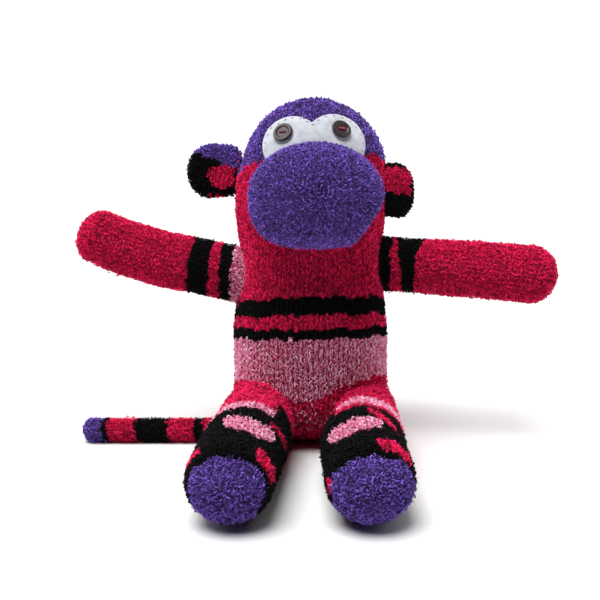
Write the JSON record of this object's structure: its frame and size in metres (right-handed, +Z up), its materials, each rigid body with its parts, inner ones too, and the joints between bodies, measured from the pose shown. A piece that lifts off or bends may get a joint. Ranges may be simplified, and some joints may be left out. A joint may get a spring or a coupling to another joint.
{
  "type": "stuffed monkey toy",
  "caption": "Sitting stuffed monkey sewn from fuzzy striped socks, with outstretched arms, a padded muzzle, button eyes on a felt mask, round ears and a long tail.",
  "frame": {"origin": "centre of the seat, on the surface the toy sits on", "axes": "+Z up, the toy faces -Y, +X is the toy's own left"},
  "size_m": [0.3018, 0.2483, 0.2079],
  "materials": {
    "sock_purple": "fuzzy chenille knit",
    "sock_hot_pink": "fuzzy chenille knit",
    "sock_pale_pink": "fuzzy chenille knit",
    "sock_black": "fuzzy chenille knit",
    "felt": "off-white wool felt",
    "button": "glossy plum-brown",
    "button_thread": "twisted thread",
    "plum_thread": "twisted thread",
    "pink_thread": "twisted thread",
    "purple_thread": "twisted thread",
    "black_thread": "twisted thread",
    "filling": "polyester fibre, loose"
  },
  "bodies": {
    "torso": {"torso_cover": "sock_hot_pink", "torso_stuffing": "filling", "closing_stitches": "pink_thread", "arm_left_stitches": "pink_thread", "arm_right_stitches": "pink_thread", "tail_stitches": "black_thread"},
    "neck": {"neck_cover": "sock_hot_pink", "neck_stuffing": "filling"},
    "head": {"head_cover": "sock_purple", "head_stuffing": "filling", "muzzle_cover": "sock_purple", "muzzle_stuffing": "filling", "muzzle_stitches": "purple_thread", "eye_felt": "felt", "eye_felt_stitches": "plum_thread", "button_left": "button", "button_right": "button", "button_thread_left": "button_thread", "button_thread_right": "button_thread", "ear_left_stitches": "pink_thread", "ear_right_stitches": "pink_thread"},
    "ear_left": {"ear_left_cover": "sock_black", "ear_left_stuffing": "filling"},
    "ear_right": {"ear_right_cover": "sock_black", "ear_right_stuffing": "filling"},
    "shoulder_left": {"arm_left_root": "sock_black"},
    "arm_left": {"arm_left_cover": "sock_hot_pink", "arm_left_stuffing": "filling"},
    "shoulder_right": {"arm_right_root": "sock_pale_pink"},
    "arm_right": {"arm_right_cover": "sock_hot_pink", "arm_right_stuffing": "filling"},
    "hip_left": {"leg_left_root": "sock_pale_pink"},
    "leg_left": {"leg_left_cover": "sock_black", "leg_left_stuffing": "filling"},
    "hip_right": {"leg_right_root": "sock_pale_pink"},
    "leg_right": {"leg_right_cover": "sock_black", "leg_right_stuffing": "filling"},
    "tail_root": {"tail_root": "sock_black"},
    "tail": {"tail_cover": "sock_black", "tail_stuffing": "filling"}
  },
  "joints": [
    {"name": "head_turn", "type": "hinge", "parent": "torso", "child": "neck", "pos_m": [0, 0.01775, 0.12626], "axis": [0, 0.1392, 0.9903], "range_deg": [-25, 25], "stiffness_Nm_per_rad": 0.1},
    {"name": "head_nod", "type": "hinge", "parent": "neck", "child": "head", "pos_m": [0, 0.01775, 0.12626], "axis": [1, 0, 0], "range_deg": [-12, 12], "stiffness_Nm_per_rad": 0.25},
    {"name": "ear_left_flap", "type": "hinge", "parent": "head", "child": "ear_left", "pos_m": [0.051, 0.02115, 0.15052], "axis": [0, -0.1392, -0.9903], "range_deg": [-35, 45], "stiffness_Nm_per_rad": 0.01},
    {"name": "ear_right_flap", "type": "hinge", "parent": "head", "child": "ear_right", "pos_m": [-0.051, 0.0231, 0.16438], "axis": [0, 0.1392, 0.9903], "range_deg": [-50, 35], "stiffness_Nm_per_rad": 0.01},
    {"name": "arm_left_swing", "type": "hinge", "parent": "torso", "child": "shoulder_left", "pos_m": [0.051, 0.01492, 0.10616], "axis": [0, -0.1392, -0.9903], "range_deg": [-35, 40], "stiffness_Nm_per_rad": 0.05},
    {"name": "arm_left_raise", "type": "hinge", "parent": "shoulder_left", "child": "arm_left", "pos_m": [0.051, 0.01492, 0.10616], "axis": [-0.1392, -0.9806, 0.1378], "range_deg": [-35, 20], "stiffness_Nm_per_rad": 0.05, "springref_deg": 5.16},
    {"name": "arm_right_swing", "type": "hinge", "parent": "torso", "child": "shoulder_right", "pos_m": [-0.051, 0.01397, 0.09942], "axis": [0, 0.1392, 0.9903], "range_deg": [-35, 40], "stiffness_Nm_per_rad": 0.05},
    {"name": "arm_right_raise", "type": "hinge", "parent": "shoulder_right", "child": "arm_right", "pos_m": [-0.051, 0.01397, 0.09942], "axis": [0.0698, 0.9879, -0.1388], "range_deg": [-45, 20], "stiffness_Nm_per_rad": 0.05, "springref_deg": 5.16},
    {"name": "leg_left_splay", "type": "hinge", "parent": "torso", "child": "hip_left", "pos_m": [0.0315, -0.038, 0.0215], "axis": [0, 0, 1], "range_deg": [-4, 22], "stiffness_Nm_per_rad": 0.06},
    {"name": "leg_left_flex", "type": "hinge", "parent": "hip_left", "child": "leg_left", "pos_m": [0.0315, -0.038, 0.0215], "axis": [-0.9995, 0.0332, 0], "range_deg": [-60, 28], "stiffness_Nm_per_rad": 0.06},
    {"name": "leg_right_splay", "type": "hinge", "parent": "torso", "child": "hip_right", "pos_m": [-0.0315, -0.038, 0.0215], "axis": [0, 0, -1], "range_deg": [-4, 22], "stiffness_Nm_per_rad": 0.06},
    {"name": "leg_right_flex", "type": "hinge", "parent": "hip_right", "child": "leg_right", "pos_m": [-0.0315, -0.038, 0.0215], "axis": [-0.9966, 0.0819, 0], "range_deg": [-60, 28], "stiffness_Nm_per_rad": 0.06},
    {"name": "tail_swing", "type": "hinge", "parent": "torso", "child": "tail_root", "pos_m": [0, 0.0539, 0.0072], "axis": [0, 0, 1], "range_deg": [-80, 1], "stiffness_Nm_per_rad": 0.01},
    {"name": "tail_lift", "type": "hinge", "parent": "tail_root", "child": "tail", "pos_m": [0, 0.0539, 0.0072], "axis": [0, 0.8619, -0.507], "range_deg": [0, 15], "stiffness_Nm_per_rad": 0.01}
  ]
}
